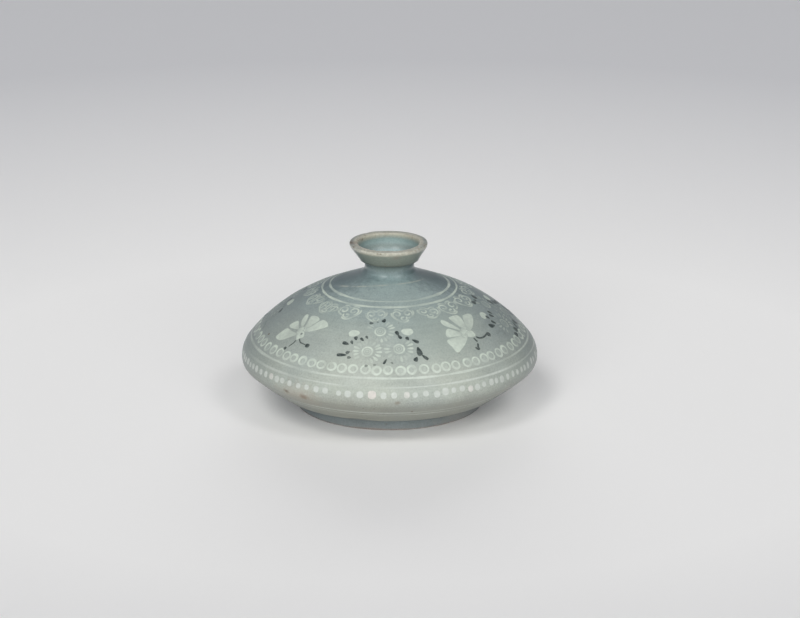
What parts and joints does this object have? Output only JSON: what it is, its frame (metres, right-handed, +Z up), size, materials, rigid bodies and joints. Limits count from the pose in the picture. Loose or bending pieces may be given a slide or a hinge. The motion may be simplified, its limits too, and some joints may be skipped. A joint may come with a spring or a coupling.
{
  "type": "celadon oil bottle",
  "caption": "Low round-shouldered ceramic oil bottle with a narrow neck, a flared cup mouth and a foot ring, inlaid with butterflies, chrysanthemum sprays, clouds and bead bands.",
  "frame": {"origin": "on the table, at the centre of the foot ring", "axes": "+Z up along the bottle's axis; the front of the ornament, with a flower spray, faces -Y and +X is to its right"},
  "size_m": [0.09, 0.09, 0.0504],
  "materials": {
    "celadon": "grey-green crackled celadon glaze over grey stoneware",
    "foot_clay": "thin dark glaze over bare stoneware",
    "white_slip": "white slip inlay under glaze",
    "black_slip": "black slip inlay under glaze"
  },
  "bodies": {
    "root": {"foot_ring": "foot_clay", "lower_bowl": "celadon", "shoulder": "celadon", "neck_collar": "celadon", "mouth_cup": "celadon", "shoulder_line_inner": "white_slip", "shoulder_line_outer": "white_slip", "girth_line_upper": "white_slip", "girth_line_lower": "white_slip", "foot_line_upper": "white_slip", "foot_line_lower": "white_slip", "cloud_collar": "white_slip", "circle_chain": "white_slip", "girth_dots": "white_slip", "butterfly_1": "white_slip", "butterfly_2": "white_slip", "butterfly_3": "white_slip", "butterfly_4": "white_slip", "feelers_1": "black_slip", "feelers_2": "black_slip", "feelers_3": "black_slip", "feelers_4": "black_slip", "flowers_1": "white_slip", "flowers_2": "white_slip", "flowers_3": "white_slip", "flowers_4": "white_slip", "buds_1": "white_slip", "buds_2": "white_slip", "buds_3": "white_slip", "buds_4": "white_slip", "leaves_1": "black_slip", "leaves_2": "black_slip", "leaves_3": "black_slip", "leaves_4": "black_slip"}
  },
  "joints": []
}
